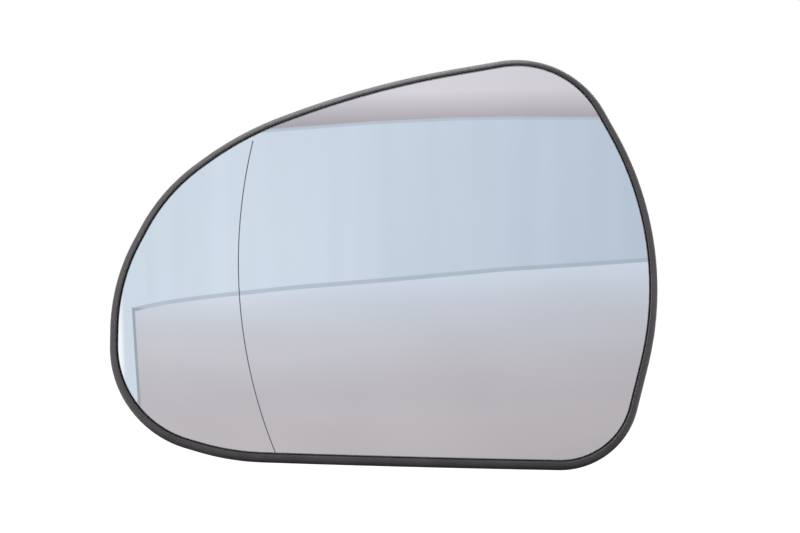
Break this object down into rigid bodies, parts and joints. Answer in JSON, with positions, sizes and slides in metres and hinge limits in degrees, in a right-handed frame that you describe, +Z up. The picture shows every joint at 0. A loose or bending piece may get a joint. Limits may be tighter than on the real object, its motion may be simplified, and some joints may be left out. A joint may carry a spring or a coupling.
{
  "type": "car door mirror glass",
  "caption": "Convex car door mirror glass with an aspheric outer end, bonded by its heater pad into a black moulded carrier with a clip ring behind.",
  "frame": {"origin": "on the axis of the clip ring, at the middle of the land on its hooks", "axes": "+X to the right and +Z up as seen from the front; +Y from the glass to the back, along the clip ring's axis"},
  "size_m": [0.1818, 0.0134, 0.1365],
  "materials": {
    "carrier_plastic": "black moulded plastic with a fine spark-eroded grain",
    "mirror": "silvered convex glass, slightly cool, with ground edges",
    "heater_foil": "amber heater film with adhesive",
    "spring_wire": "drawn spring steel wire",
    "terminal_metal": "stamped brass, tinned",
    "rivet_metal": "plain brass rivet"
  },
  "bodies": {
    "root": {"carrier": "carrier_plastic", "mirror_glass": "mirror", "heater_pad": "heater_foil", "retaining_spring": "spring_wire", "upper_terminal": "terminal_metal", "lower_terminal": "terminal_metal", "upper_rivet": "rivet_metal", "lower_rivet": "rivet_metal"}
  },
  "joints": []
}
